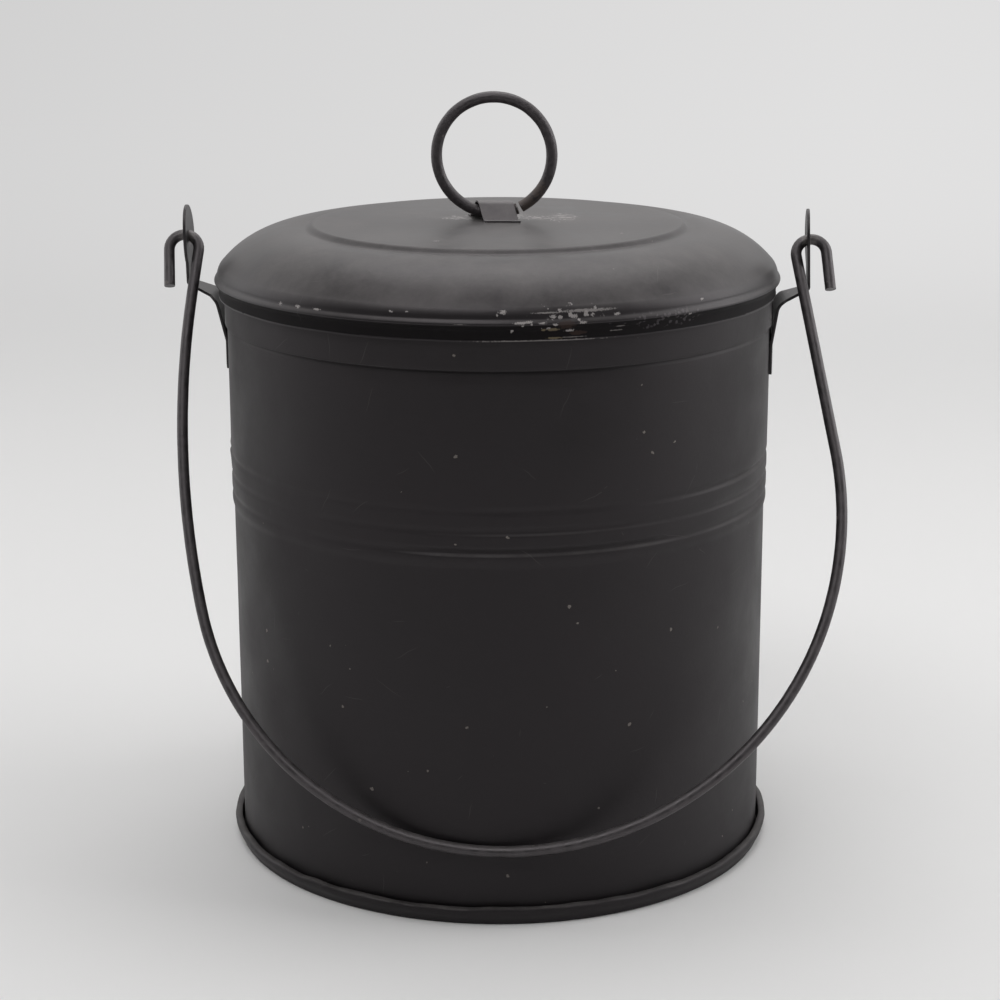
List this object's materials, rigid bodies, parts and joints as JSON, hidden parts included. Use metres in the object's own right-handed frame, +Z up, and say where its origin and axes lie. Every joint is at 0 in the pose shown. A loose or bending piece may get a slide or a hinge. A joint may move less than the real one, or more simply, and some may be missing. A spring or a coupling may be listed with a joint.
{
  "type": "covered metal pail",
  "caption": "Round sheet-metal pail with a slip-over domed lid, a standing wire ring on the lid, and a wire bail hooked through two leaf-shaped ears.",
  "frame": {"origin": "middle of the bottom's underside, on the surface the pail stands on", "axes": "+Z up, +X through the right ear along the bail's pivot line, -Y the front, where the bail rests"},
  "size_m": [0.189, 0.1562, 0.2109],
  "materials": {
    "pail_paint": "satin black paint on sheet metal, fine specks and faint scratches",
    "lid_paint": "satin black paint, chipped to pale metal along the lower rim, scuffed beside the clip",
    "ear_paint": "satin black paint, rubbed where the wire bears",
    "wire_paint": "brushed-on satin black paint on wire, one cut end bare and brown"
  },
  "bodies": {
    "pail": {"shell": "pail_paint", "rim_band": "pail_paint", "bottom": "pail_paint", "left_ear": "ear_paint", "right_ear": "ear_paint"},
    "bail": {"bail": "wire_paint"},
    "lid": {"lid": "lid_paint", "ring_clip": "lid_paint"},
    "ring": {"lift_ring": "wire_paint"}
  },
  "joints": [
    {"name": "bail_swing", "type": "hinge", "parent": "pail", "child": "bail", "pos_m": [0, 0, 0.171], "axis": [-1, 0, 0], "range_deg": [0, 305.9]},
    {"name": "lid_lift", "type": "slide", "parent": "pail", "child": "lid", "axis": [0, 0, 1], "range_m": [0, 0.05]},
    {"name": "ring_pivot", "type": "hinge", "parent": "lid", "child": "ring", "pos_m": [-0.0012, 0, 0.1783], "axis": [1, 0, 0], "range_deg": [-88, 88]}
  ]
}
